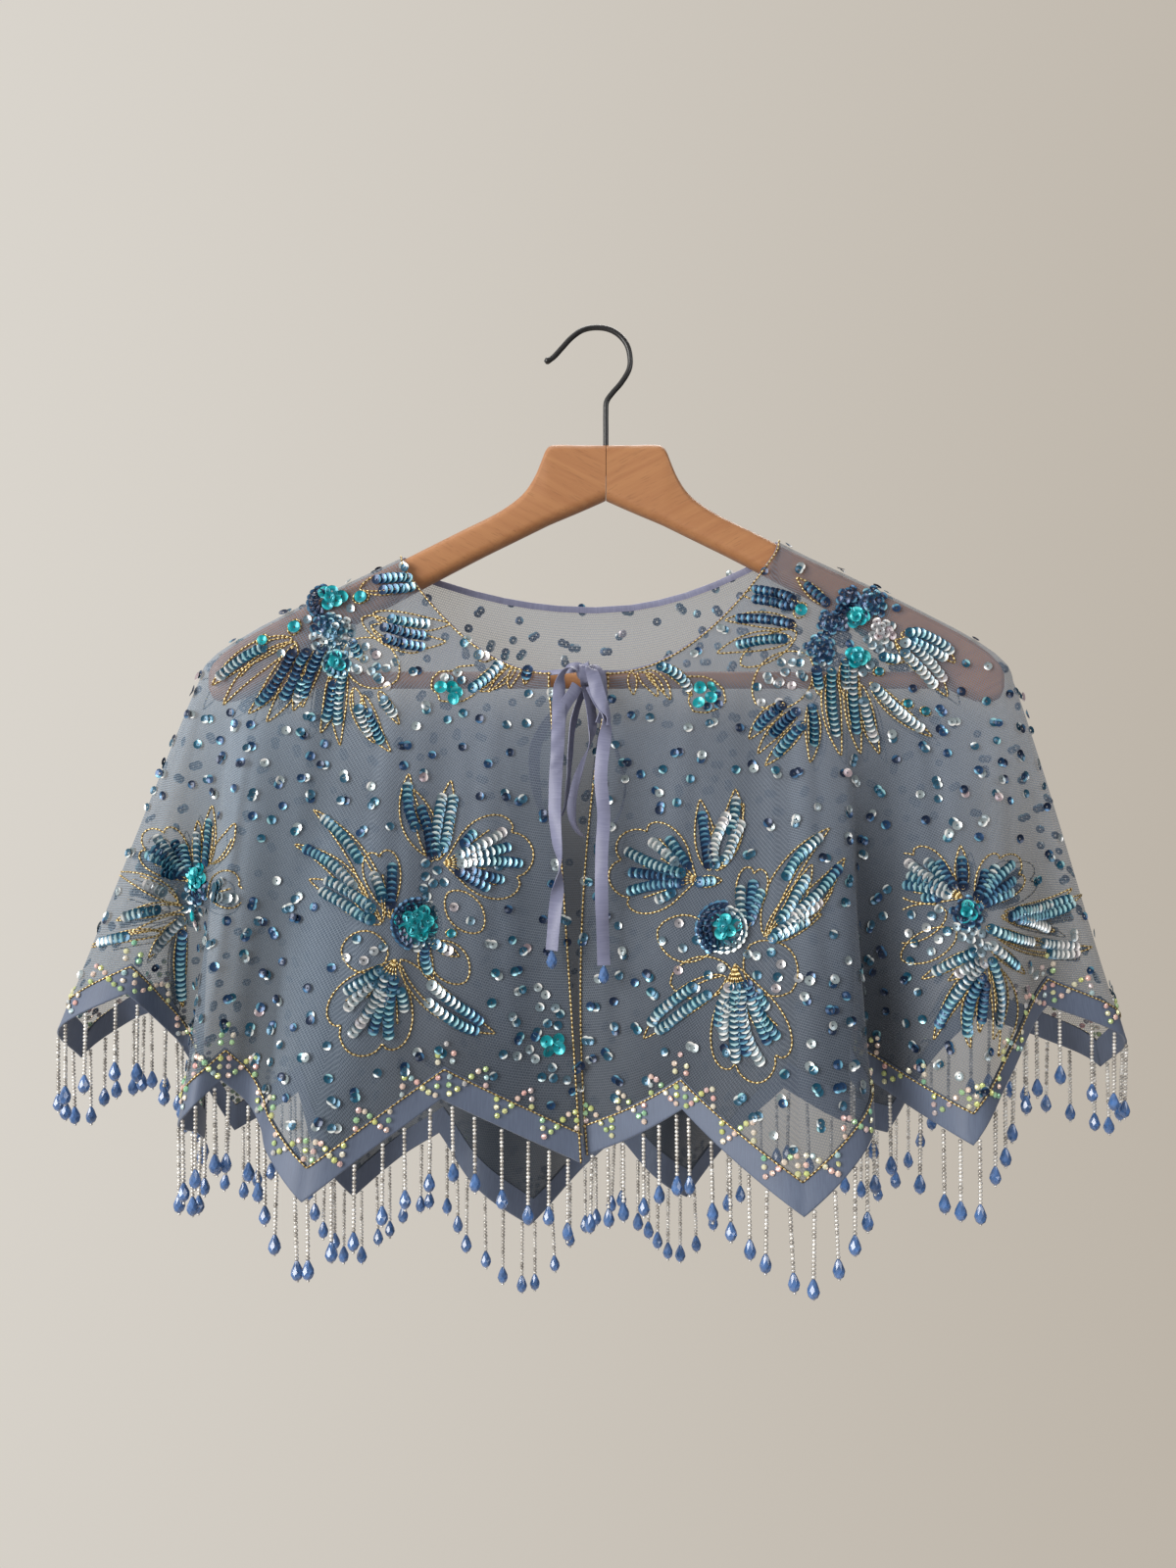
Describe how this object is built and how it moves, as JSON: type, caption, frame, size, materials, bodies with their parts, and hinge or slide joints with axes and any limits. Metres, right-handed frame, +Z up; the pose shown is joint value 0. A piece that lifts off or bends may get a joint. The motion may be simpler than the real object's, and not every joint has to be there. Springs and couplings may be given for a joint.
{
  "type": "cape on a clothes hanger",
  "caption": "Sheer beaded evening capelet with a zigzag fringed hem and a ribbon tie, hung open at the front on a wooden clothes hanger with a trouser bar.",
  "frame": {"origin": "top of the hook's inner curve, where a nail or a rail carries the hanger", "axes": "+X to the right seen from the front, +Y from the cape's front to its back, +Z up"},
  "size_m": [0.585, 0.152, 0.5501],
  "materials": {
    "wood": "clear satin lacquer on a plain reddish hardwood",
    "wire": "black enamelled steel wire",
    "tulle": "sheer blue-grey net sewn with sequins and gold cord",
    "band": "fine satin band with a soft sheen",
    "ribbon": "lavender satin ribbon",
    "beads": "silver seed beads and clear blue faceted drops"
  },
  "bodies": {
    "root": {"hanger_half_left": "wood", "hanger_half_right": "wood", "hanger_bar": "wood", "hanger_hook": "wire", "front_left": "tulle", "back": "tulle", "front_right": "tulle", "hem_band_front_left": "band", "hem_band_back": "band", "hem_band_front_right": "band", "fringe_front_left": "beads", "fringe_back": "beads", "fringe_front_right": "beads", "neck_binding": "ribbon", "tie_knot": "ribbon", "tie_loop_left": "ribbon", "tie_loop_right": "ribbon", "tie_tail_left": "ribbon", "tie_tail_right": "ribbon", "tie_drop_left": "beads", "tie_drop_right": "beads"}
  },
  "joints": []
}
